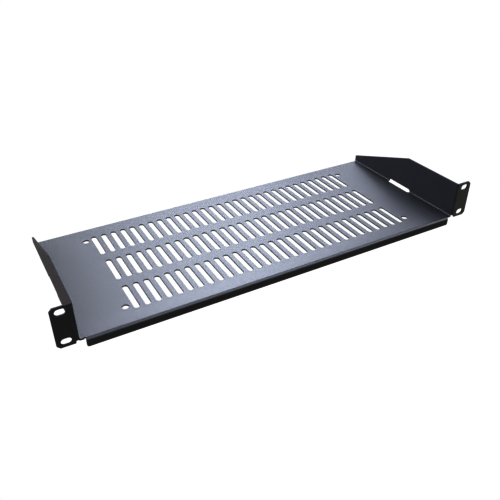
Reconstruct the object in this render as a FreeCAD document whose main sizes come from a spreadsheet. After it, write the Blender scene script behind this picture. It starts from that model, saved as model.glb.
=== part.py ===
import FreeCAD, Part
import os
import Sketcher
from FreeCAD import Vector, Placement, Rotation

# Vented cantilever shelf for a 19-inch rack, one rack unit high, folded from one sheet of steel.
#
# Frame: origin at the centre of the rack bolt pattern, on the back face of the ears (the face that
# bears on the rack rails). +X to the right seen from the front, +Y towards the back of the rack,
# +Z up. Millimetres.
#
# One blank, eight folds: two walls up from the deck, one ear outwards from each wall,
# one lip down from the deck's front edge.

doc = FreeCAD.newDocument("cantilever_shelf")

# ---------------------------------------------------------------- driving dimensions
SIZES = [
    # alias, value, note
    ("panel_width", 482.6, "overall width over the ears, 19 inches"),
    ("panel_height", 43.0, "height of the ears, one rack unit less clearance"),
    ("bolt_span", 465.1, "between the left and right rows of rack slots"),
    ("bolt_rise", 31.75, "between the upper and lower rack slots"),
    ("ear_slot_length", 10.0, "rack slot, end to end"),
    ("ear_slot_width", 6.8, "rack slot, across"),
    ("ear_chamfer", 2.9, "corners cut off the ears"),
    ("ear_fold_radius", 0.8, "inner radius of the wall to ear fold"),
    ("relief_reach", 1.05, "width of the flat ear cut away beyond the fold, at the relief"),
    ("relief_radius", 1.0, "round corner of that relief"),
    ("relief_top", 1.3, "top of the relief, above the deck's upper face"),
    ("gauge", 1.6, "sheet with its coating"),
    ("tray_width", 445.7, "over the outer faces of the side walls"),
    ("deck_drop", 20.2, "deck's upper face below the centre of the rack slots"),
    ("deck_front", 0.55, "front cut edge of the deck behind the ears' back face"),
    ("deck_rear", 180.5, "rear cut edge of the deck behind the ears' back face"),
    ("wall_rear", 181.6, "rear edge of the walls behind the ears' back face"),
    ("wall_kink", 81.65, "where the walls' top edge starts to slope down"),
    ("wall_rear_height", 7.5, "height of the walls' rear edge above the deck's upper face"),
    ("wall_corner_radius", 0.8, "rounded upper rear corner of the walls"),
    ("fold_radius", 1.3, "inner radius of the deck to wall folds"),
    ("lip_fold_radius", 1.5, "inner radius of the deck to lip fold"),
    ("lip_front", 1.4, "front face of the lip ahead of the ears' back face"),
    ("lip_depth", 9.6, "bottom of the lip below the deck's upper face"),
    ("lip_width", 432.2, "length of the lip along the front"),
    ("lip_corner_radius", 1.85, "bottom corners of the lip"),
    ("lip_relief_width", 1.0, "slit beside each end of the lip's fold"),
    ("vent_pitch", 11.15, "between vent slots along a row"),
    ("vent_row_pitch", 52.45, "between rows of vent slots"),
    ("vent_row_count", 3, "rows"),
    ("vent_slot_count", 30, "slots in a row"),
    ("vent_length", 39.3, "vent slot, end to end"),
    ("vent_width", 5.7, "vent slot, across"),
    ("vent_centre", 90.05, "centre of the slot field behind the ears' back face"),
    ("tie_hole_span", 342.9, "left to right between the round holes, 13.5 inches"),
    ("tie_hole_depth", 131.1, "front to back between the round holes"),
    ("tie_hole_diameter", 6.6, "round hole"),
    ("fold_slot_length", 39.4, "slot on each deck to wall fold, end to end"),
    ("fold_slot_width", 6.8, "the same, across, in the flat blank"),
    ("neutral_factor", 0.42, "neutral line of the sheet, as a share of its thickness"),
]

sheet = doc.addObject("Spreadsheet::Sheet", "Dims")
for row, (alias, value, note) in enumerate(SIZES, start=1):
    sheet.set("A%d" % row, alias)
    sheet.set("B%d" % row, str(value))
    sheet.setAlias("B%d" % row, alias)
    sheet.set("C%d" % row, note)
doc.recompute()


class Dim:
    """A length that knows its number and the cell expression that gives it."""

    def __init__(self, value, text):
        self.value = float(value)
        self.text = text

    @staticmethod
    def of(other):
        return other if isinstance(other, Dim) else Dim(other, repr(float(other)))

    def __add__(self, other):
        other = Dim.of(other)
        return Dim(self.value + other.value, "(%s + %s)" % (self.text, other.text))

    def __sub__(self, other):
        other = Dim.of(other)
        return Dim(self.value - other.value, "(%s - %s)" % (self.text, other.text))

    def __mul__(self, other):
        other = Dim.of(other)
        return Dim(self.value * other.value, "(%s * %s)" % (self.text, other.text))

    def __truediv__(self, other):
        other = Dim.of(other)
        return Dim(self.value / other.value, "(%s / %s)" % (self.text, other.text))

    def __neg__(self):
        return Dim(-self.value, "(0 - %s)" % self.text)


def cell(alias):
    return Dim(getattr(sheet, alias), "Dims.%s" % alias)


class D:
    """Sizes worked out from the sheet."""


for alias, _value, _note in SIZES:
    setattr(D, alias, cell(alias))

D.half_tray = D.tray_width / 2                      # wall outer face
D.wall_in = D.half_tray - D.gauge                   # wall inner face
D.fold_x = D.wall_in - D.fold_radius                # where the flat deck ends and the fold starts
D.deck_top = -D.deck_drop
D.deck_under = D.deck_top - D.gauge
D.ear_top = D.panel_height / 2
D.ear_bottom = -D.ear_top
D.half_panel = D.panel_width / 2
D.ear_flat = D.half_tray + D.ear_fold_radius        # where the flat of the ear starts
D.relief_x = D.ear_flat + D.relief_reach
D.relief_z = D.deck_top + D.relief_top
D.lip_fold_y = D.gauge + D.lip_fold_radius - D.lip_front   # where the flat deck ends at the lip
D.lip_fold_z = D.deck_under - D.lip_fold_radius
D.lip_bottom = D.deck_top - D.lip_depth
D.half_lip = D.lip_width / 2
# half of the neutral line's length round a deck to wall fold
D.fold_half = (D.fold_radius + D.gauge * D.neutral_factor) * 0.7853981634
D.deck_middle = D.vent_centre


# ---------------------------------------------------------------- sketch helpers
def origin_item(body, role):
    for item in body.Origin.OriginFeatures:
        if item.Role == role:
            return item
    raise RuntimeError(role)


def new_sketch(body, name, plane, offset=None):
    sketch = body.newObject("Sketcher::SketchObject", name)
    sketch.AttachmentSupport = (origin_item(body, plane), [""])
    sketch.MapMode = "FlatFace"
    if offset is not None:
        sketch.AttachmentOffset = Placement(Vector(0, 0, offset.value), Rotation())
        sketch.setExpression("AttachmentOffset.Base.z", offset.text + " * 1mm")
    return sketch


def drive(sketch, kind, items, dim):
    """A driving constraint whose value follows the sheet."""
    index = sketch.addConstraint(Sketcher.Constraint(kind, *(list(items) + [dim.value])))
    sketch.setExpression("Constraints[%d]" % index, dim.text + " * 1mm")
    return index


def at(sketch, geo, pos, x=None, y=None):
    """Pin a point's coordinates to the sheet. A coordinate of nought lies on the axis."""
    if x is not None:
        if abs(x.value) < 1e-9:
            sketch.addConstraint(Sketcher.Constraint("PointOnObject", geo, pos, -2))
        else:
            drive(sketch, "DistanceX", (-1, 1, geo, pos), x)
    if y is not None:
        if abs(y.value) < 1e-9:
            sketch.addConstraint(Sketcher.Constraint("PointOnObject", geo, pos, -1))
        else:
            drive(sketch, "DistanceY", (-1, 1, geo, pos), y)


def outline(sketch, corners):
    """A closed outline. Each corner is (x, y) or (x, y, radius); a corner with a radius is a quarter
    round between a level side and an upright one."""
    n = len(corners)
    points = [Vector(c[0].value, c[1].value, 0) for c in corners]
    radii = [c[2] if len(c) > 2 else None for c in corners]
    runs = [(points[(i + 1) % n] - points[i]).normalize() for i in range(n)]
    ends = []
    for i in range(n):
        j = (i + 1) % n
        start = points[i] + runs[i] * (radii[i].value if radii[i] else 0.0)
        stop = points[j] - runs[i] * (radii[j].value if radii[j] else 0.0)
        ends.append((start, stop))
    lines = [sketch.addGeometry(Part.LineSegment(a, b), False) for a, b in ends]
    for i in range(n):
        line, previous = lines[i], lines[i - 1]
        if radii[i] is None:
            sketch.addConstraint(Sketcher.Constraint("Coincident", previous, 2, line, 1))
            at(sketch, line, 1, corners[i][0], corners[i][1])
            continue
        r = radii[i]
        into, out = runs[i - 1], runs[i]
        cx = corners[i][0] + r * round(out.x - into.x)
        cy = corners[i][1] + r * round(out.y - into.y)
        centre = Vector(cx.value, cy.value, 0)
        middle = centre + (into - out).normalize() * r.value
        # drawn anticlockwise, from its first end to its second, whichever way the outline turns
        if into.x * out.y - into.y * out.x > 0:
            curve, enter, leave = Part.Arc(ends[i - 1][1], middle, ends[i][0]), 1, 2
        else:
            curve, enter, leave = Part.Arc(ends[i][0], middle, ends[i - 1][1]), 2, 1
        arc = sketch.addGeometry(curve, False)
        sketch.addConstraint(Sketcher.Constraint("Coincident", previous, 2, arc, enter))
        sketch.addConstraint(Sketcher.Constraint("Coincident", arc, leave, line, 1))
        at(sketch, arc, 3, cx, cy)
        drive(sketch, "Radius", (arc,), r)
        # each end lies square to the centre, so the arc meets both sides smoothly
        level = abs(into.y) < 1e-9
        sketch.addConstraint(Sketcher.Constraint("Vertical" if level else "Horizontal", arc, 3, arc, enter))
        sketch.addConstraint(Sketcher.Constraint("Horizontal" if level else "Vertical", arc, 3, arc, leave))


def oblong(sketch, cx, cy, length, width, upright):
    """A slot with round ends: two straight sides and two half circles."""
    r = width.value / 2
    offset = (length - width) / 2
    if upright:
        a, b = Vector(cx.value, cy.value + offset.value, 0), Vector(cx.value, cy.value - offset.value, 0)
        side = Vector(r, 0, 0)
        cap = Vector(0, r, 0)
        square = "Horizontal"
        centres = ((cx, cy + offset), (cx, cy - offset))
    else:
        a, b = Vector(cx.value + offset.value, cy.value, 0), Vector(cx.value - offset.value, cy.value, 0)
        side = Vector(0, -r, 0)
        cap = Vector(r, 0, 0)
        square = "Vertical"
        centres = ((cx + offset, cy), (cx - offset, cy))
    l1 = sketch.addGeometry(Part.LineSegment(b + side, a + side), False)
    c1 = sketch.addGeometry(Part.Arc(a + side, a + cap, a - side), False)
    l2 = sketch.addGeometry(Part.LineSegment(a - side, b - side), False)
    c2 = sketch.addGeometry(Part.Arc(b - side, b - cap, b + side), False)
    for line, arc, following in ((l1, c1, l2), (l2, c2, l1)):
        sketch.addConstraint(Sketcher.Constraint("Coincident", line, 2, arc, 1))
        sketch.addConstraint(Sketcher.Constraint("Coincident", arc, 2, following, 1))
    for arc, centre in ((c1, centres[0]), (c2, centres[1])):
        at(sketch, arc, 3, centre[0], centre[1])
        drive(sketch, "Radius", (arc,), width / 2)
        for end in (1, 2):
            sketch.addConstraint(Sketcher.Constraint(square, arc, 3, arc, end))


def check_sketch(sketch):
    for _attempt in range(8):
        doc.recompute()
        result = sketch.solve()
        if result == 0:
            break
        print("%s: solver returned %d, solved again" % (sketch.Name, result))
        sketch.touch()
    else:
        raise RuntimeError("%s does not solve" % sketch.Name)
    if not sketch.FullyConstrained:
        raise RuntimeError("%s is not fully constrained" % sketch.Name)


volumes = []


def settle(body, feature, adds):
    """Make the feature the body's tip, and see that it added or took material."""
    body.Tip = feature
    doc.recompute()
    if "Invalid" in feature.State or "Error" in feature.State or feature.Shape.isNull():
        raise RuntimeError("%s failed: %s" % (feature.Name, feature.State))
    volume = feature.Shape.Volume
    if volumes:
        change = volume - volumes[-1]
        if (change > 0) != adds or abs(change) < 1e-3:
            raise RuntimeError("%s changed the volume by %.4f" % (feature.Name, change))
    volumes.append(volume)
    if not feature.Shape.isValid():
        raise RuntimeError("%s has an invalid shape" % feature.Name)
    print("%-22s volume %12.2f" % (feature.Name, volume))


def pad(body, name, sketch, length, reverse=False, both=False):
    check_sketch(sketch)
    feature = body.newObject("PartDesign::Pad", name)
    feature.Profile = sketch
    feature.SideType = "Symmetric" if both else "One side"
    feature.Reversed = reverse
    feature.Length = length.value
    feature.setExpression("Length", length.text + " * 1mm")
    sketch.Visibility = False
    settle(body, feature, True)
    return feature


def pocket(body, name, sketch, length=None, reverse=False, both=False):
    check_sketch(sketch)
    feature = body.newObject("PartDesign::Pocket", name)
    feature.Profile = sketch
    feature.SideType = "Symmetric" if both else "One side"
    feature.Reversed = reverse
    if length is None:
        feature.Type = "ThroughAll"
    else:
        feature.Type = "Length"
        feature.Length = length.value
        feature.setExpression("Length", length.text + " * 1mm")
    sketch.Visibility = False
    settle(body, feature, False)
    return feature


def mirror(body, name, features, adds):
    feature = body.newObject("PartDesign::Mirrored", name)
    feature.Originals = features
    feature.MirrorPlane = (origin_item(body, "YZ_Plane"), [""])
    settle(body, feature, adds)
    return feature


# ---------------------------------------------------------------- the folded sheet
tray = doc.addObject("PartDesign::Body", "shelf_tray")
tray.Label = "shelf_tray"

# Channel: deck and both walls, with the folds between them, drawn as seen from the front.
# The sheet's plane looks along -Y, so an offset of -y puts the sketch at y.
section = new_sketch(tray, "ChannelSection", "XZ_Plane", -D.deck_front)
outer_radius = D.fold_radius + D.gauge
outline(section, [
    (-D.half_tray, D.ear_top),
    (-D.half_tray, D.deck_under, outer_radius),
    (D.half_tray, D.deck_under, outer_radius),
    (D.half_tray, D.ear_top),
    (D.wall_in, D.ear_top),
    (D.wall_in, D.deck_top, D.fold_radius),
    (-D.wall_in, D.deck_top, D.fold_radius),
    (-D.wall_in, D.ear_top),
])
channel = pad(tray, "Channel", section, D.wall_rear - D.deck_front, reverse=True)

# Walls' outline seen from the side: the top slopes down behind the kink.
slope = new_sketch(tray, "WallSlopeOutline", "YZ_Plane")
beyond = D.wall_rear + 5
above = D.ear_top + 5
outline(slope, [
    (D.wall_kink, D.ear_top),
    (D.wall_rear, D.deck_top + D.wall_rear_height),
    (beyond, D.deck_top + D.wall_rear_height),
    (beyond, above),
    (D.wall_kink, above),
])
pocket(tray, "WallSlope", slope, D.tray_width + 20, both=True)

# Walls' front edge: above the relief the flat of the wall ends where the fold to the ear starts.
front = new_sketch(tray, "WallFrontOutline", "YZ_Plane")
outline(front, [
    (-D.gauge - 2, D.relief_z),
    (D.ear_fold_radius, D.relief_z),
    (D.ear_fold_radius, above),
    (-D.gauge - 2, above),
])
pocket(tray, "WallFront", front, D.tray_width + 20, both=True)

# Deck's rear edge lies a little ahead of the walls' rear edges.
rear = new_sketch(tray, "DeckRearOutline", "XY_Plane", D.deck_top + 1)
outline(rear, [
    (-D.fold_x, D.deck_rear),
    (D.fold_x, D.deck_rear),
    (D.fold_x, beyond),
    (-D.fold_x, beyond),
])
pocket(tray, "DeckRear", rear, D.gauge + 2)

# Deck's front edge is cut back to the start of the lip's fold, with a slit at each end of it.
notch = new_sketch(tray, "DeckFrontOutline", "XY_Plane", D.deck_top + 1)
slit = D.half_lip + D.lip_relief_width
outline(notch, [
    (-slit, -D.gauge - 2),
    (slit, -D.gauge - 2),
    (slit, D.lip_fold_y, D.lip_relief_width / 2),
    (-slit, D.lip_fold_y, D.lip_relief_width / 2),
])
pocket(tray, "DeckFront", notch, D.gauge + 2)

# Lip: the fold, then the flat with its rounded bottom corners. The fold's section reaches a little
# way back under the deck's own faces, so that the two join over an area.
fold = new_sketch(tray, "LipFoldSection", "YZ_Plane")
into_deck = D.lip_fold_y + 3
outline(fold, [
    (into_deck, D.deck_top),
    (-D.lip_front, D.deck_top, D.lip_fold_radius + D.gauge),
    (-D.lip_front, D.lip_fold_z - 0.5),
    (D.gauge - D.lip_front, D.lip_fold_z - 0.5),
    (D.gauge - D.lip_front, D.deck_under, D.lip_fold_radius),
    (into_deck, D.deck_under),
])
pad(tray, "LipFold", fold, D.lip_width, both=True)

lip = new_sketch(tray, "LipOutline", "XZ_Plane", D.lip_front)
outline(lip, [
    (-D.half_lip, D.lip_fold_z),
    (-D.half_lip, D.lip_bottom, D.lip_corner_radius),
    (D.half_lip, D.lip_bottom, D.lip_corner_radius),
    (D.half_lip, D.lip_fold_z),
])
pad(tray, "Lip", lip, D.gauge, reverse=True)

# Right ear: the fold outwards from the wall, seen from above, then the flat seen from the front.
# The fold's section reaches a little way back along the wall.
ear_fold = new_sketch(tray, "EarFoldSection", "XY_Plane", D.relief_z)
into_wall = D.ear_fold_radius + 1
outline(ear_fold, [
    (D.wall_in, into_wall),
    (D.wall_in, -D.gauge, D.ear_fold_radius + D.gauge),
    (D.ear_flat + 0.5, -D.gauge),
    (D.ear_flat + 0.5, Dim(0, "0")),
    (D.half_tray, Dim(0, "0"), D.ear_fold_radius),
    (D.half_tray, into_wall),
])
ear_fold_pad = pad(tray, "EarFold", ear_fold, D.ear_top - D.relief_z)

ear = new_sketch(tray, "EarOutline", "XZ_Plane")
outline(ear, [
    (D.ear_flat, D.relief_z),
    (D.relief_x, D.relief_z, D.relief_radius),
    (D.relief_x, D.ear_bottom),
    (D.half_panel - D.ear_chamfer, D.ear_bottom),
    (D.half_panel, D.ear_bottom + D.ear_chamfer),
    (D.half_panel, D.ear_top - D.ear_chamfer),
    (D.half_panel - D.ear_chamfer, D.ear_top),
    (D.ear_flat, D.ear_top),
])
ear_pad = pad(tray, "Ear", ear, D.gauge)

# Rack slots, two in each ear.
rack = new_sketch(tray, "RackSlotOutlines", "XZ_Plane", D.gauge + 1)
for sign in (1, -1):
    oblong(rack, D.bolt_span / 2, D.bolt_rise / 2 * sign, D.ear_slot_length, D.ear_slot_width, False)
check_sketch(rack)
ears = mirror(tray, "EarsMirrored", [ear_fold_pad, ear_pad], True)
rack_pocket = pocket(tray, "RackSlots", rack, D.gauge + 2)
mirror(tray, "RackSlotsMirrored", [rack_pocket], False)

# Slot punched across each deck to wall fold before folding. On the deck's side it ends in plan view,
# on the wall's side in side view; its round ends are centred on the middle of the fold.
in_deck = new_sketch(tray, "FoldSlotPlan", "XY_Plane", D.deck_under - 1)
half_slot = D.fold_slot_length / 2
edge = D.fold_x + D.fold_half - D.fold_slot_width / 2
centre_x = D.fold_x + D.fold_half
outline(in_deck, [
    (centre_x + 0.2, D.deck_middle - half_slot),
    (centre_x + 0.2, D.deck_middle + half_slot),
    (edge, D.deck_middle + half_slot, D.fold_slot_width / 2),
    (edge, D.deck_middle - half_slot, D.fold_slot_width / 2),
])
plan_pocket = pocket(tray, "FoldSlotInDeck", in_deck, D.fold_radius + D.gauge + 1, reverse=True)

in_wall = new_sketch(tray, "FoldSlotSide", "YZ_Plane", centre_x)
ridge = D.deck_top + D.fold_radius - D.fold_half + D.fold_slot_width / 2
outline(in_wall, [
    (D.deck_middle - half_slot, D.deck_under - 1),
    (D.deck_middle + half_slot, D.deck_under - 1),
    (D.deck_middle + half_slot, ridge, D.fold_slot_width / 2),
    (D.deck_middle - half_slot, ridge, D.fold_slot_width / 2),
])
side_pocket = pocket(tray, "FoldSlotInWall", in_wall, D.gauge + 3, reverse=True)
mirror(tray, "FoldSlotsMirrored", [plan_pocket, side_pocket], False)

# Round holes outside the corners of the slot field.
ties = new_sketch(tray, "TieHoleOutlines", "XY_Plane", D.deck_top + 1)
first = None
for sx in (1, -1):
    for sy in (1, -1):
        cx = D.tie_hole_span / 2 * sx
        cy = D.vent_centre + D.tie_hole_depth / 2 * sy
        circle = ties.addGeometry(
            Part.Circle(Vector(cx.value, cy.value, 0), Vector(0, 0, 1), D.tie_hole_diameter.value / 2), False
        )
        at(ties, circle, 3, cx, cy)
        if first is None:
            first = circle
            drive(ties, "Radius", (circle,), D.tie_hole_diameter / 2)
        else:
            ties.addConstraint(Sketcher.Constraint("Equal", first, circle))
pocket(tray, "TieHoles", ties, D.gauge + 2)

# Vent slots: one punched at the left front, repeated to the right and to the back.
vent = new_sketch(tray, "VentOutline", "XY_Plane", D.deck_top + 1)
first_x = -(D.vent_slot_count - 1) / 2 * D.vent_pitch
first_y = D.vent_centre - (D.vent_row_count - 1) / 2 * D.vent_row_pitch
oblong(vent, first_x, first_y, D.vent_length, D.vent_width, True)
vent_pocket = pocket(tray, "Vent", vent, D.gauge + 2)

vents = tray.newObject("PartDesign::LinearPattern", "Vents")
vents.Originals = [vent_pocket]
vents.Direction = (origin_item(tray, "X_Axis"), [""])
vents.Mode = "Spacing"
vents.Offset = D.vent_pitch.value
vents.setExpression("Offset", D.vent_pitch.text + " * 1mm")
vents.Occurrences = int(D.vent_slot_count.value)
vents.setExpression("Occurrences", D.vent_slot_count.text)
vents.Direction2 = (origin_item(tray, "Y_Axis"), [""])
vents.Mode2 = "Spacing"
vents.Offset2 = D.vent_row_pitch.value
vents.setExpression("Offset2", D.vent_row_pitch.text + " * 1mm")
vents.Occurrences2 = int(D.vent_row_count.value)
vents.setExpression("Occurrences2", D.vent_row_count.text)
# -1 stands for the even spacing given above
vents.Spacings = [-1.0] * (int(D.vent_slot_count.value) - 1)
vents.Spacings2 = [-1.0] * (int(D.vent_row_count.value) - 1)
settle(tray, vents, False)
punched = volumes[-3] - volumes[-2]
expected = punched * D.vent_slot_count.value * D.vent_row_count.value
if abs((volumes[-3] - volumes[-1]) - expected) > 0.01:
    raise RuntimeError("the vent pattern is not complete")

# Upper rear corner of each wall, rounded off.
names = []
z_corner = D.deck_top.value + D.wall_rear_height.value
for index, item in enumerate(vents.Shape.Edges, start=1):
    box = item.BoundBox
    if (
        abs(box.YMin - D.wall_rear.value) < 1e-4
        and abs(box.YMax - D.wall_rear.value) < 1e-4
        and abs(box.ZMin - z_corner) < 1e-4
        and abs(box.ZMax - z_corner) < 1e-4
    ):
        names.append("Edge%d" % index)
if len(names) != 2:
    raise RuntimeError("expected two wall corners, found %d" % len(names))
corner = tray.newObject("PartDesign::Fillet", "WallCorners")
corner.Base = (vents, names)
corner.Radius = D.wall_corner_radius.value
corner.setExpression("Radius", D.wall_corner_radius.text + " * 1mm")
settle(tray, corner, False)

doc.recompute()

# ---------------------------------------------------------------- checks, then the STEP file
for item in doc.Objects:
    if "Invalid" in item.State or "Error" in item.State:
        raise RuntimeError("%s is %s" % (item.Name, item.State))

os.makedirs("parts", exist_ok=True)
for body in (tray,):
    shape = body.Shape
    if shape.isNull() or not shape.isValid():
        raise RuntimeError("%s has no valid shape" % body.Label)
    if len(shape.Solids) != 1:
        raise RuntimeError("%s has %d solids" % (body.Label, len(shape.Solids)))
    shape.exportStep("parts/%s.step" % body.Label)
    box = shape.BoundBox
    print("%s: %.2f x %.2f x %.2f mm, volume %.1f mm3, %d faces" % (
        body.Label, box.XLength, box.YLength, box.ZLength, shape.Volume, len(shape.Faces)))
    print("x %.2f..%.2f y %.2f..%.2f z %.2f..%.2f" % (box.XMin, box.XMax, box.YMin, box.YMax, box.ZMin, box.ZMax))
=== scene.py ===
"""Looks of the cantilever rack shelf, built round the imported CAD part.

The shelf is one folded steel sheet with a black powder coat. The CAD node is replaced by the
same sheet with the roundings that a sheared, punched and coated sheet has. Metres outside the
sheet's own section, which is in millimetres.
"""
import bpy
import math
import numpy as np
from mathutils import Matrix, Vector
from mathutils.geometry import delaunay_2d_cdt


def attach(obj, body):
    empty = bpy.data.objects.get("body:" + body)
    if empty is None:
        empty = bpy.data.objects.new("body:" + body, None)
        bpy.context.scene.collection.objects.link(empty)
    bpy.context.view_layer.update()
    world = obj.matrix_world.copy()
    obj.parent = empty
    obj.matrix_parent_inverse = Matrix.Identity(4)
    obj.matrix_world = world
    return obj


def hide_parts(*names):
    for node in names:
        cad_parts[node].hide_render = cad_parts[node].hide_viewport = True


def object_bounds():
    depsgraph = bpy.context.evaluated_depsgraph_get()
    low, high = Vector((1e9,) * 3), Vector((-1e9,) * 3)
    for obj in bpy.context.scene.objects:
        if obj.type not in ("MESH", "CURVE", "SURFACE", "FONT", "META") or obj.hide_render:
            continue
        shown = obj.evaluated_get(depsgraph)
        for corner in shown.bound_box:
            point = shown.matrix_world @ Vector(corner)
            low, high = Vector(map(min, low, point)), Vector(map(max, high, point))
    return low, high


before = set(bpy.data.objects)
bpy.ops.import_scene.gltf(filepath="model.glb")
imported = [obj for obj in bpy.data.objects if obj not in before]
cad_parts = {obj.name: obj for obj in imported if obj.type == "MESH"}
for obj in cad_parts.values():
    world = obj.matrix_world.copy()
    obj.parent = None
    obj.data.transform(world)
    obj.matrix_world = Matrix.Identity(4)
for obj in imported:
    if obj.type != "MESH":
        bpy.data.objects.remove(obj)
cad_lo, cad_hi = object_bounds()
scene = bpy.context.scene
# The photograph blends its edges in display values, so colours are kept as display values.
scene.view_settings.view_transform = "Raw"
scene.view_settings.look = "None"

# ------------------------------------------------------------------ camera
yaw, pitch, roll = math.radians(29.2118), math.radians(33.0578), math.radians(0.1098)
ahead = Vector((math.sin(yaw) * math.cos(pitch), math.cos(yaw) * math.cos(pitch), -math.sin(pitch)))
level = Vector((math.cos(yaw), -math.sin(yaw), 0.0))
down = ahead.cross(level)
row0 = math.cos(roll) * level + math.sin(roll) * down
row1 = -math.sin(roll) * level + math.cos(roll) * down
shift = (45.3776, 19.7544, 595.0699)             # the deck's middle front, as the camera sees it, mm
eye = -(row0 * shift[0] + row1 * shift[1] + ahead * shift[2])
eye = (eye - Vector((0.0, 1.6, 20.2))) / 1000.0
cam_data = bpy.data.cameras.new("camera")
cam_data.sensor_fit = "HORIZONTAL"
cam_data.sensor_width = 36.0
cam_data.lens = 579.69 / 500.0 * 36.0
cam_data.clip_start, cam_data.clip_end = 0.01, 100.0
cam = bpy.data.objects.new("camera", cam_data)
scene.collection.objects.link(cam)
turned = Matrix((row0, -row1, -ahead)).transposed().to_4x4()
turned.translation = eye
cam.matrix_world = turned
scene.camera = cam

# ------------------------------------------------------------------ the sheet, millimetres
# The same sizes as the CAD. The blank is drawn flat and then folded, so each cut edge keeps
# its rounded arris round the folds.
GAUGE = 1.6
DECK_TOP = -20.2
FOLD_R = 1.3                      # deck to wall, inner
EAR_R = 0.8                       # wall to ear, inner
LIP_R = 1.5                       # deck to lip, inner
NEUTRAL = 0.42
HALF_TRAY = 222.85
FOLD_X = HALF_TRAY - GAUGE - FOLD_R
FOLD_A = (FOLD_R + NEUTRAL * GAUGE) * math.pi / 2      # length of a fold in the flat blank
EAR_A = (EAR_R + NEUTRAL * GAUGE) * math.pi / 2
LIP_A = (LIP_R + NEUTRAL * GAUGE) * math.pi / 2
WALL_X = FOLD_X + FOLD_A          # where the wall starts in the blank
FOLD_Z = DECK_TOP + FOLD_R        # height of the deck folds' centres
EAR_Y = EAR_R                     # where the ear folds start
EAR_CX = HALF_TRAY + EAR_R
LIP_Y = 1.7                       # where the lip fold starts
LIP_CZ = DECK_TOP - GAUGE - LIP_R
DECK_FRONT, DECK_REAR, WALL_REAR = 0.55, 180.5, 181.6
HALF_LIP = 216.1
EAR_IN = 224.7                    # inner end of an ear's lower edge
ARRIS_OUT = 0.15                  # rounding of the sheared outline, coating included
ARRIS_HOLE = 0.5                  # rounding of the punched holes, whose edges roll over more
FOLD_STEPS = 12


def up(z):
    """Place in the blank of a height on a wall or an ear."""
    return WALL_X + z - FOLD_Z


def across(x):
    """Place in the blank of a distance from the middle on an ear."""
    return EAR_Y - EAR_A - (x - EAR_CX)


def fold(p, d):
    """Points p of the blank, (n, 2), at depths d under the upper, inner face, folded: (n, 3)."""
    x, y = np.abs(p[:, 0]), p[:, 1]
    side = np.where(p[:, 0] < 0, -1.0, 1.0)
    r = np.empty((len(p), 3))
    # deck
    r[:, 0], r[:, 1], r[:, 2] = x, y, DECK_TOP - d
    # fold between deck and wall, then the wall
    k = (x > FOLD_X) & (y > DECK_FRONT - 0.01)
    a = np.clip((x - FOLD_X) / FOLD_A, 0, 1) * math.pi / 2
    r[k, 0] = FOLD_X + (FOLD_R + d[k]) * np.sin(a[k])
    r[k, 2] = FOLD_Z - (FOLD_R + d[k]) * np.cos(a[k]) + np.maximum(x[k] - WALL_X, 0)
    # fold between wall and ear, then the ear
    k = (x > WALL_X - 5) & (y < EAR_Y) & ((x >= WALL_X - 1e-6) | (y < DECK_FRONT - 0.01))
    a = np.clip((EAR_Y - y) / EAR_A, 0, 1) * math.pi / 2
    q = EAR_R + GAUGE - d
    r[k, 0] = EAR_CX - q[k] * np.cos(a[k]) + np.maximum(EAR_Y - EAR_A - y[k], 0)
    r[k, 1] = EAR_Y - q[k] * np.sin(a[k])
    r[k, 2] = FOLD_Z + x[k] - WALL_X
    # fold between deck and lip, then the lip
    k = (x < HALF_LIP + 0.5) & (y < LIP_Y)
    a = np.clip((LIP_Y - y) / LIP_A, 0, 1) * math.pi / 2
    q = LIP_R + GAUGE - d
    r[k, 1] = LIP_Y - q[k] * np.sin(a[k])
    r[k, 2] = LIP_CZ + q[k] * np.cos(a[k]) - np.maximum(LIP_Y - LIP_A - y[k], 0)
    r[:, 0] *= side
    return r


# fold lines of the blank: (axis, place, least and greatest of the other coordinate)
LINES = []
for k in range(FOLD_STEPS + 1):
    for s in (-1, 1):
        LINES.append((0, s * (FOLD_X + FOLD_A * k / FOLD_STEPS), DECK_FRONT - 0.02, WALL_REAR + 1))
        lo, hi = sorted((s * (WALL_X - 0.02), s * up(25)))
        LINES.append((1, EAR_Y - EAR_A * k / FOLD_STEPS, lo, hi))
    LINES.append((1, LIP_Y - LIP_A * k / FOLD_STEPS, -HALF_LIP, HALF_LIP))


def on_lines(a, b):
    """Shares of the way from a to b where the run crosses fold lines."""
    found = []
    for axis, at, lo, hi in LINES:
        u, v = a[axis] - at, b[axis] - at
        if u * v < -1e-12:
            s = u / (u - v)
            o = a[1 - axis] + s * (b[1 - axis] - a[1 - axis])
            if lo <= o <= hi:
                found.append(s)
    return found


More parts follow.
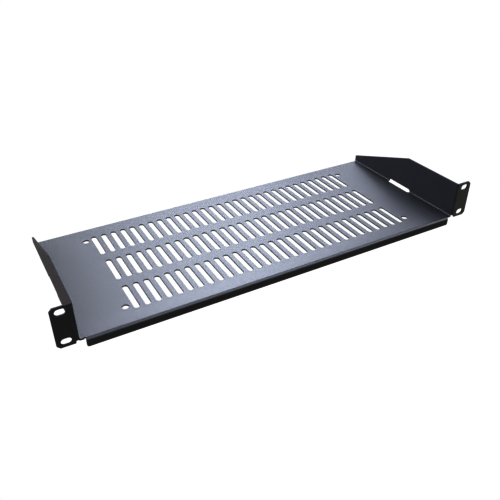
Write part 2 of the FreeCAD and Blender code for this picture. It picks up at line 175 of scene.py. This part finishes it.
def loop(corners, arris, step=math.radians(11.25)):
    """A cut edge, material on its left. Corners are (x, y, radius) in order; the radius is the
    real edge's. Gives the points an arris inside the edge, the directions out of the sheet and
    the arris."""
    n = len(corners)
    c = [np.array(k[:2], float) for k in corners]
    run = [(c[(i + 1) % n] - c[i]) / np.linalg.norm(c[(i + 1) % n] - c[i]) for i in range(n)]
    arcs = []
    for i in range(n):
        a, b, rad = run[i - 1], run[i], corners[i][2]
        turn = math.atan2(a[0] * b[1] - a[1] * b[0], a @ b)      # left turns are positive: convex
        na, nb = np.array([a[1], -a[0]]), np.array([b[1], -b[0]])    # out of the sheet
        reach = rad * math.tan(abs(turn) / 2)
        sign = 1.0 if turn > 0 else -1.0
        centre = c[i] - a * reach - na * rad * sign
        arcs.append((centre, na, turn, sign, rad))
    pts, nrm = [], []
    for i in range(n):
        centre, na, turn, sign, rad = arcs[i]
        inner = rad - arris * sign                               # radius of the inset edge
        assert inner > -1e-9, (i, corners[i])
        steps = max(2, int(math.ceil(abs(turn) / step)))
        angles = {k / steps for k in range(steps + 1)}
        a0 = math.atan2(na[1] * sign, na[0] * sign)
        for axis, at, lo, hi in LINES:
            w = (at - centre[axis]) / inner if inner > 1e-6 else 9
            if abs(w) > 1:
                continue
            for g in ((math.acos(w), -math.acos(w)) if axis == 0 else (math.asin(w), math.pi - math.asin(w))):
                s = (g - a0) / turn
                s -= math.floor(s * abs(turn) / (2 * math.pi)) * 2 * math.pi / abs(turn)
                o = centre[1 - axis] + inner * (math.sin(g) if axis == 0 else math.cos(g))
                if 1e-6 < s < 1 - 1e-6 and lo <= o <= hi:
                    angles = {t for t in angles if t in (0.0, 1.0) or abs(t - s) > 0.02}
                    angles.add(s)
        for s in sorted(angles):
            g = a0 + turn * s
            u = np.array([math.cos(g), math.sin(g)])
            pts.append(centre + inner * u)
            nrm.append(u * sign)
        # the straight run to the next corner
        a = pts[-1]
        nc, nn, nt, ns, nr = arcs[(i + 1) % n]
        b = nc + (nr - arris * ns) * nn * ns
        for s in sorted(on_lines(a, b)):
            pts.append(a + s * (b - a))
            nrm.append(nn)
    keep = [i for i in range(len(pts)) if np.linalg.norm(pts[i] - pts[i - 1]) > 1e-5]
    return np.array(pts)[keep], np.array(nrm)[keep], np.full(len(keep), arris)


def slot(cx, cy, lx, ly, arris):
    """A hole with round ends or a round hole, clockwise."""
    r = min(lx, ly) / 2
    a, b = lx / 2, ly / 2
    c = [(cx - a, cy - b, r), (cx - a, cy + b, r), (cx + a, cy + b, r), (cx + a, cy - b, r)]
    return loop(c, arris)


top_z, low_z = 21.5, -21.5
cut = 2.9
half = [
    (HALF_LIP, LIP_Y - LIP_A - 6.5, 1.85),
    (HALF_LIP, LIP_Y, 0.5),
    (HALF_LIP + 1.0, LIP_Y, 0.5),
    (HALF_LIP + 1.0, DECK_FRONT, 0.32),
    (WALL_X - 1.0, DECK_FRONT, 0.32),
    (WALL_X - 1.0, 1.4, 0.5),
    (WALL_X, 1.4, 0.3),
    (WALL_X, across(EAR_IN), 1.0),
    (up(low_z), across(EAR_IN), 0.5),
    (up(low_z), across(241.3 - cut), 0.8),
    (up(low_z + cut), across(241.3), 0.8),
    (up(top_z - cut), across(241.3), 0.8),
    (up(top_z), across(241.3 - cut), 0.8),
    (up(top_z), 81.65, 1.5),
    (up(DECK_TOP + 7.5), WALL_REAR, 0.8),
    (FOLD_X, WALL_REAR, 0.4),
    (FOLD_X, DECK_REAR, 0.4),
]
outer = half + [(-x, y, r) for x, y, r in reversed(half)]
edges = [loop(outer, ARRIS_OUT)]
for row in (-1, 0, 1):
    for k in range(30):
        edges.append(slot((k - 14.5) * 11.15, 90.05 + row * 52.45, 5.7, 39.3, ARRIS_HOLE))
for sx in (-1, 1):
    for sy in (-1, 1):
        edges.append(slot(sx * 171.45, 90.05 + sy * 65.55, 6.6, 6.6, ARRIS_HOLE))
        edges.append(slot(sx * up(sy * 15.875), across(232.55), 6.8, 10.0, ARRIS_OUT))
    edges.append(slot(sx * (FOLD_X + FOLD_A / 2), 90.05, 6.8, 39.4, ARRIS_OUT))

# flat faces: one triangulation, used for the inner face and, turned over, for the outer one
pts = np.concatenate([e[0] for e in edges])
nrm = np.concatenate([e[1] for e in edges])
arris = np.concatenate([e[2] for e in edges])
ring = []
start = 0
for e in edges:
    n = len(e[0])
    ring.append(np.c_[np.arange(n) + start, (np.arange(n) + 1) % n + start])
    start += n
ring = np.concatenate(ring)


def inside(q):
    """Whether the midpoints lie in the sheet, by crossings of the cut edges."""
    a, b = pts[ring[:, 0]], pts[ring[:, 1]]
    x, y = q
    hit = (a[:, 1] > y) != (b[:, 1] > y)
    xs = a[hit, 0] + (y - a[hit, 1]) / (b[hit, 1] - a[hit, 1]) * (b[hit, 0] - a[hit, 0])
    return (xs > x).sum() % 2 == 1


extra, links = [], []
count = len(pts)
for axis, at, lo, hi in LINES:
    near = np.nonzero((np.abs(pts[:, axis] - at) < 1e-6) & (pts[:, 1 - axis] > lo) & (pts[:, 1 - axis] < hi))[0]
    near = near[np.argsort(pts[near, 1 - axis])]
    for i, j in zip(near[:-1], near[1:]):
        gap = pts[j, 1 - axis] - pts[i, 1 - axis]
        if gap < 1e-4 or not inside((pts[i] + pts[j]) / 2 + 1e-7):
            continue
        parts = max(1, int(round(gap / 14.0)))
        chain = [i]
        for s in range(1, parts):
            extra.append(pts[i] + (pts[j] - pts[i]) * s / parts)
            chain.append(count)
            count += 1
        chain.append(j)
        links += list(zip(chain[:-1], chain[1:]))
flat = np.concatenate([pts, np.array(extra)]) if extra else pts
known = [tuple(map(int, q)) for q in ring] + [tuple(map(int, q)) for q in links]
known = sorted(set(tuple(sorted(q)) for q in known))
res = delaunay_2d_cdt([Vector(q) for q in flat], known, [], 0, 1e-9)
new_v, new_e, new_f, ids = res[0], res[1], res[2], res[3]
order = [i[0] for i in ids]                       # the triangulation's own numbering
tri = np.array([[order[k] for k in f] for f in new_f])
mid = flat[tri].mean(1)
a, b = pts[ring[:, 0]], pts[ring[:, 1]]
cross = (a[None, :, 1] > mid[:, None, 1]) != (b[None, :, 1] > mid[:, None, 1])
with np.errstate(divide="ignore", invalid="ignore"):
    xs = a[None, :, 0] + (mid[:, None, 1] - a[None, :, 1]) / (b - a)[None, :, 1] * (b - a)[None, :, 0]
tri = tri[(cross & (xs > mid[:, None, 0])).sum(1) % 2 == 1]
t2 = flat[tri]
area = 0.5 * ((t2[:, 1, 0] - t2[:, 0, 0]) * (t2[:, 2, 1] - t2[:, 0, 1]) - (t2[:, 2, 0] - t2[:, 0, 0]) * (t2[:, 1, 1] - t2[:, 0, 1]))
tri[area < 0] = tri[area < 0][:, ::-1]

# rounded cut edges: rings from the inner face round to the outer one
ARC = 4
profile = []                                      # (out from the inset edge, depth, turn of the normal)
for k in range(ARC + 1):
    g = math.pi / 2 * k / ARC
    profile.append((arris * math.sin(g), arris * (1 - math.cos(g)), g))
profile.append((arris, np.full(len(pts), GAUGE / 2), math.pi / 2))
for k in range(ARC + 1):
    g = math.pi / 2 * (1 - k / ARC)
    profile.append((arris * math.sin(g), GAUGE - arris * (1 - math.cos(g)), math.pi - g))
n_ring, n_flat = len(pts), len(flat)
punched = (arris == ARRIS_HOLE).astype(float)
blank, depth, turn, outward = [flat], [np.zeros(n_flat)], [np.zeros(n_flat)], [np.r_[nrm, np.zeros((n_flat - n_ring, 2))]]
kind = [np.zeros(n_flat)]
for o, d, g in profile[1:-1]:
    blank.append(pts + nrm * o[:, None])
    depth.append(d)
    turn.append(np.full(n_ring, g))
    outward.append(nrm)
    kind.append(punched)
kind.append(np.zeros(n_flat))
kind = np.concatenate(kind)
blank.append(flat)
depth.append(np.full(n_flat, GAUGE))
turn.append(np.full(n_flat, math.pi))
outward.append(np.r_[nrm, np.zeros((n_flat - n_ring, 2))])
base = np.cumsum([0] + [len(q) for q in blank])
blank, depth, turn, outward = map(np.concatenate, (blank, depth, turn, outward))
co = fold(blank, depth)
# normals from the fold itself, not from the facets
h = 1e-4
inside_q = blank - outward * 2e-3
ex = (fold(inside_q + [h, 0], depth) - fold(inside_q - [h, 0], depth)) / (2 * h)
ey = (fold(inside_q + [0, h], depth) - fold(inside_q - [0, h], depth)) / (2 * h)
face = np.cross(ex, ey)
face /= np.linalg.norm(face, axis=1)[:, None]
side = ex * outward[:, :1] + ey * outward[:, 1:]
ln = np.linalg.norm(side, axis=1)[:, None]
side = np.where(ln > 1e-9, side / np.maximum(ln, 1e-9), 0)
normal = face * np.cos(turn)[:, None] + side * np.sin(turn)[:, None]
normal /= np.linalg.norm(normal, axis=1)[:, None]

faces = [tri]
quads = []
for k in range(len(profile) - 1):
    u, v = base[k], base[k + 1]
    quads.append(np.c_[ring[:, 0] + u, ring[:, 0] + v, ring[:, 1] + v, ring[:, 1] + u])
quads = np.concatenate(quads)
under = tri[:, ::-1] + base[-2]

# ------------------------------------------------------------------ the piece
me = bpy.data.meshes.new("shelf_sheet")
faces = [tuple(map(int, f)) for group in (tri, quads, under) for f in group]
me.from_pydata([tuple(v * 0.001) for v in co], [], faces)
me.polygons.foreach_set("use_smooth", np.ones(len(faces), bool))
me.update()
me.normals_split_custom_set_from_vertices([tuple(v) for v in normal])

# where the surface is a cut edge: 1 on the sheared outline and the slots punched with it,
# and 1 on the rolled-over edges of the vents
for name, value in (("sheared", np.sin(turn) * (1 - kind)), ("punched", np.sin(turn) * kind)):
    me.attributes.new(name, "FLOAT", "POINT").data.foreach_set("value", value)

# map of the blank: the inner face with half of each cut edge above, the outer one, turned
# over, below
spread = [np.zeros(n_flat)]
for k, (o, d, g) in enumerate(profile[1:-1], 1):
    away = k if k <= ARC + 1 else 2 * (ARC + 1) - k
    along = arris * math.pi / 2 + GAUGE / 2 - arris if away > ARC else arris * (math.pi / 2 * away / ARC)
    spread.append(0.6 * along)
spread.append(np.zeros(n_flat))
flat_at = np.concatenate([flat] + [pts + nrm * s[:, None] for s in spread[1:-1]] + [flat])
inner_uv = np.c_[0.5 + flat_at[:, 0] / 530, (flat_at[:, 1] + 21) / 410 + 0.502]
outer_uv = np.c_[0.5 - flat_at[:, 0] / 530, (flat_at[:, 1] + 21) / 410 + 0.002]
halves = len(quads) // 2
corner = np.concatenate([tri.ravel(), quads.ravel(), under.ravel()])
on_inner = np.r_[np.ones(tri.size, bool), np.ones(halves * 4, bool), np.zeros(halves * 4, bool), np.zeros(under.size, bool)]
uv = np.where(on_inner[:, None], inner_uv[corner], outer_uv[corner])
layer = me.uv_layers.new(name="OFBake")
layer.uv.foreach_set("vector", uv.astype(np.float32).ravel())

sheet = bpy.data.objects.new("shelf_sheet", me)
scene.collection.objects.link(sheet)
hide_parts("shelf_tray")
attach(sheet, "root")

# ------------------------------------------------------------------ powder coat
coat = bpy.data.materials.new("powder_coat_black")
coat.use_nodes = True
nodes, links = coat.node_tree.nodes, coat.node_tree.links
shader = nodes["Principled BSDF"]
shader.inputs["IOR"].default_value = 1.5
place = nodes.new("ShaderNodeTexCoord").outputs["Object"]


def noise(scale_mm, detail=2.0, rough=0.5):
    """Noise over the surface, 0 to 1, with features of this size."""
    node = nodes.new("ShaderNodeTexNoise")
    node.noise_dimensions = "3D"
    node.inputs["Scale"].default_value = 1000.0 / scale_mm
    node.inputs["Detail"].default_value = detail
    node.inputs["Roughness"].default_value = rough
    links.new(place, node.inputs["Vector"])
    return node.outputs["Fac"]


def maths(operation, *values):
    node = nodes.new("ShaderNodeMath")
    node.operation = operation
    for socket, v in zip(node.inputs, values):
        if isinstance(v, (int, float)):
            socket.default_value = v
        else:
            links.new(v, socket)
    return node.outputs[0]


def edge(name):
    node = nodes.new("ShaderNodeAttribute")
    node.attribute_name = name
    return node.outputs["Fac"]


def centred(fac, amount):
    """amount times the noise's distance from its middle."""
    return maths("MULTIPLY", maths("SUBTRACT", fac, 0.5), amount)


grain, peel, cloud, speck = noise(0.34, 1.0), noise(1.5, 1.5), noise(55.0, 2.0), noise(0.9, 3.0, 0.6)
sheared, punched = edge("sheared"), edge("punched")

# colour: almost black, a little uneven, with painted shade on the cut edge of the sheared outline
tone_and_edge_shade = maths("ADD", maths("ADD", 0.5, centred(cloud, 0.2)), centred(speck, 0.8))
# painted shade: the base colour is made darker on the sheared outline's cut edge
tone_and_edge_shade = maths("SUBTRACT", tone_and_edge_shade, maths("MULTIPLY", sheared, 0.5))
ramp = nodes.new("ShaderNodeValToRGB")
ramp.color_ramp.elements[0].position, ramp.color_ramp.elements[0].color = 0.0, (0.010, 0.010, 0.0105, 1)
ramp.color_ramp.elements[1].position, ramp.color_ramp.elements[1].color = 1.0, (0.049, 0.049, 0.051, 1)
middle = ramp.color_ramp.elements.new(0.5)
middle.color = (0.0295, 0.0295, 0.0305, 1)
links.new(tone_and_edge_shade, ramp.inputs["Fac"])
links.new(ramp.outputs["Color"], shader.inputs["Base Color"])

# gloss: satin on the faces, rougher where the coat covers a cut
rough = maths("ADD", 0.372, maths("ADD", centred(cloud, 0.02), centred(speck, 0.06)))
rough = maths("ADD", rough, maths("MULTIPLY", sheared, 0.47))
rough = maths("ADD", rough, maths("MULTIPLY", punched, 0.12))
links.new(rough, shader.inputs["Roughness"])

# relief: fine grain of the cured powder over a faint orange peel
fine = nodes.new("ShaderNodeBump")
fine.inputs["Strength"].default_value = 1.0
fine.inputs["Distance"].default_value = 0.000018
links.new(grain, fine.inputs["Height"])
soft = nodes.new("ShaderNodeBump")
soft.inputs["Strength"].default_value = 1.0
soft.inputs["Distance"].default_value = 0.000022
links.new(peel, soft.inputs["Height"])
links.new(fine.outputs["Normal"], soft.inputs["Normal"])
links.new(soft.outputs["Normal"], shader.inputs["Normal"])
me.materials.append(coat)

# ------------------------------------------------------------------ floor, surroundings, light


def glow(name, colour, one_sided=False):
    """A material that gives off this colour, and from behind lets the view through."""
    mat = bpy.data.materials.new(name)
    mat.use_nodes = True
    made, joined = mat.node_tree.nodes, mat.node_tree.links
    made.clear()
    emit = made.new("ShaderNodeEmission")
    emit.inputs["Color"].default_value = (*colour, 1)
    end = made.new("ShaderNodeOutputMaterial")
    if one_sided:
        clear, mix = made.new("ShaderNodeBsdfTransparent"), made.new("ShaderNodeMixShader")
        joined.new(made.new("ShaderNodeNewGeometry").outputs["Backfacing"], mix.inputs["Fac"])
        joined.new(emit.outputs[0], mix.inputs[1])
        joined.new(clear.outputs[0], mix.inputs[2])
        joined.new(mix.outputs[0], end.inputs["Surface"])
    else:
        joined.new(emit.outputs[0], end.inputs["Surface"])
    return mat


def plane(name, z, xs, ys, materials):
    """A level plane divided at xs and ys, its fields in rows from the left front."""
    mesh = bpy.data.meshes.new(name)
    n = len(xs)
    mesh.from_pydata([(x, y, z) for y in ys for x in xs], [],
                     [(j * n + i, j * n + i + 1, (j + 1) * n + i + 1, (j + 1) * n + i)
                      for j in range(len(ys) - 1) for i in range(n - 1)])
    for k, mat in enumerate(materials):
        mesh.materials.append(mat)
        mesh.polygons[k].material_index = k
    obj = bpy.data.objects.new(name, mesh)
    scene.collection.objects.link(obj)
    return obj


# the pale floor as the camera sees it, and as the shelf mirrors it: shaded in front, where the
# camera stands, and lit beside and under the shelf
floor = plane("floor", cad_lo.z, (-3, 3), (-3, 3), [glow("floor", (1.01, 1.01, 1.01), True)])
floor.visible_glossy = floor.visible_diffuse = floor.visible_transmission = floor.visible_shadow = False
LIT = [
    (0.38, 0.33, 0.23),
    (0.28, 0.25, 0.15),
    (0.92, 0.88, 0.72),
    (0.52, 0.48, 0.43),
    (1.26, 1.37, 1.36),
    (0.50, 0.50, 0.50),
    (0.62, 0.59, 0.50),
    (1.03, 0.88, 0.78),
    (0.50, 0.50, 0.50),
]
bounce = plane("floor_bounce", cad_lo.z - 0.0003, (-3, -0.2235, 0.2235, 3), (-3, -0.002, 0.182, 3),
               [glow("floor_bounce_%d" % k, colour) for k, colour in enumerate(LIT)])
bounce.visible_camera = False

world = bpy.data.worlds.new("studio")
scene.world = world
world.use_nodes = True
around = world.node_tree.nodes["Background"]
around.inputs["Color"].default_value = (*(2.090, 2.200, 2.380), 1)
around.inputs["Strength"].default_value = 1.0

# soft panels on a dome round the shelf: name, azimuth from +Y towards +X, height, size, radiance
AIM, AWAY = Vector((0.0, 0.09, -0.02)), 2.2
PANELS = [
    ("panel_342_22", -18, 22, (0.56, 0.56), (1.04, 0.82, 0.11)),
    ("panel_342_36", -18, 36, (0.56, 0.56), (0.75, 0.48, 0.00)),
    ("panel_342_50", -18, 50, (0.56, 0.56), (0.37, 0.13, 0.00)),
    ("panel_356_50", -4, 50, (0.56, 0.56), (3.99, 3.93, 4.08)),
    ("panel_10_36", 10, 36, (0.56, 0.56), (5.27, 5.40, 6.03)),
    ("panel_10_50", 10, 50, (0.56, 0.56), (4.43, 4.70, 5.89)),
    ("panel_10_64", 10, 64, (0.56, 0.56), (3.21, 3.09, 3.43)),
    ("panel_24_22", 24, 22, (0.56, 0.56), (1.88, 1.80, 2.12)),
    ("panel_24_36", 24, 36, (0.56, 0.56), (6.80, 7.28, 7.94)),
    ("panel_24_50", 24, 50, (0.56, 0.56), (7.01, 7.43, 8.20)),
    ("panel_24_64", 24, 64, (0.56, 0.56), (4.68, 4.79, 5.24)),
    ("panel_38_22", 38, 22, (0.56, 0.56), (0.18, 0.15, 0.25)),
    ("panel_38_36", 38, 36, (0.56, 0.56), (5.69, 5.90, 6.75)),
    ("panel_38_50", 38, 50, (0.56, 0.56), (6.67, 7.18, 7.58)),
    ("panel_38_64", 38, 64, (0.56, 0.56), (7.48, 7.41, 8.09)),
    ("panel_52_36", 52, 36, (0.56, 0.56), (1.69, 1.58, 1.68)),
    ("panel_52_50", 52, 50, (0.56, 0.56), (4.39, 4.77, 6.11)),
    ("panel_52_64", 52, 64, (0.56, 0.56), (5.57, 5.90, 6.64)),
    ("panel_66_50", 66, 50, (0.56, 0.56), (2.46, 2.73, 2.71)),
    ("panel_66_64", 66, 64, (0.56, 0.56), (8.87, 9.22, 10.29)),
    ("panel_130_18", 130, 18, (0.85, 0.75), (5.16, 5.20, 5.17)),
    ("panel_130_38", 130, 38, (0.85, 0.75), (8.08, 7.89, 8.87)),
    ("panel_155_18", 155, 18, (0.85, 0.75), (3.97, 4.18, 4.66)),
    ("panel_155_38", 155, 38, (0.85, 0.75), (5.58, 5.90, 5.94)),
    ("panel_180_18", 180, 18, (0.85, 0.75), (3.02, 3.05, 2.73)),
    ("panel_180_38", 180, 38, (0.85, 0.75), (3.21, 3.07, 3.19)),
    ("panel_245_18", 245, 18, (0.85, 0.75), (8.51, 8.75, 10.70)),
    ("panel_245_38", 245, 38, (0.85, 0.75), (3.77, 4.22, 5.19)),
    ("panel_270_18", 270, 18, (0.85, 0.75), (7.02, 7.29, 9.15)),
    ("panel_270_38", 270, 38, (0.85, 0.75), (3.51, 3.78, 4.44)),
    ("panel_295_18", 295, 18, (0.85, 0.75), (9.12, 9.24, 11.61)),
    ("panel_320_18", 320, 18, (0.85, 0.75), (8.69, 8.96, 10.90)),
    ("panel_275_60", 275, 60, (0.9, 0.7), (2.11, 2.01, 3.54)),
    ("panel_140_60", 140, 60, (0.9, 0.7), (2.01, 2.54, 4.32)),
    ("panel_180_82", 180, 82, (0.9, 0.7), (1.30, 1.66, 2.43)),
]
for name, az, el, size, radiance in PANELS:
    light = bpy.data.lights.new(name, "AREA")
    light.shape = "RECTANGLE"
    light.size, light.size_y = size
    most = max(radiance)
    light.energy = most * math.pi * size[0] * size[1]
    light.color = [c / most for c in radiance]
    lamp = bpy.data.objects.new(name, light)
    scene.collection.objects.link(lamp)
    a, e = math.radians(az), math.radians(el)
    lamp.location = AIM + AWAY * Vector((math.sin(a) * math.cos(e), math.cos(a) * math.cos(e), math.sin(e)))
    lamp.rotation_mode = "QUATERNION"
    lamp.rotation_quaternion = (AIM - lamp.location).to_track_quat("-Z", "Y")
    lamp.visible_camera = False
